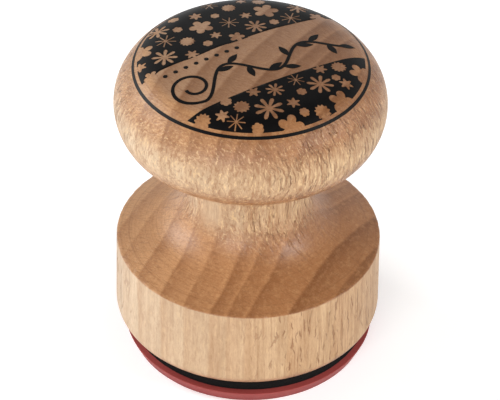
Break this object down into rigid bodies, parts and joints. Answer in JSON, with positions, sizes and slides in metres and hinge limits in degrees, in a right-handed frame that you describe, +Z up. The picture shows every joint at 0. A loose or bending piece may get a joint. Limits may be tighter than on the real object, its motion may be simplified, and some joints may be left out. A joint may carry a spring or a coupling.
{
  "type": "wooden handle rubber stamp",
  "caption": "Round rubber stamp: a turned wooden mount with a knob, a pinched neck and a drum foot, on a foam-cushioned rubber die with a flower motif that is also printed on the knob.",
  "frame": {"origin": "centre of the printing face, the flat bottom of the die", "axes": "+Z up along the turned axis, out of the knob's crown; +Y points away from the person who reads the motif; +X to that person's right"},
  "size_m": [0.0334, 0.0334, 0.0424],
  "materials": {
    "beech": "turned beech under a thin satin lacquer",
    "ink": "thin black printing ink, slightly satin",
    "adhesive_film": "translucent double-sided adhesive film, dark between the foam and what it holds",
    "foam": "matt black closed-cell foam",
    "die_rubber": "matt brick-red stamp rubber"
  },
  "bodies": {
    "mount": {"wood_mount": "beech", "print_ring": "ink", "print_field_upper": "ink", "print_field_lower": "ink", "print_sprig": "ink", "film_upper": "adhesive_film", "foam_cushion": "foam"},
    "die": {"film_lower": "adhesive_film", "rubber_die": "die_rubber"}
  },
  "joints": [
    {"name": "cushion_press", "type": "slide", "parent": "mount", "child": "die", "axis": [0, 0, 1], "range_m": [0, 0.0005], "stiffness_N_per_m": 100000, "deforming": ["foam_cushion"]}
  ]
}
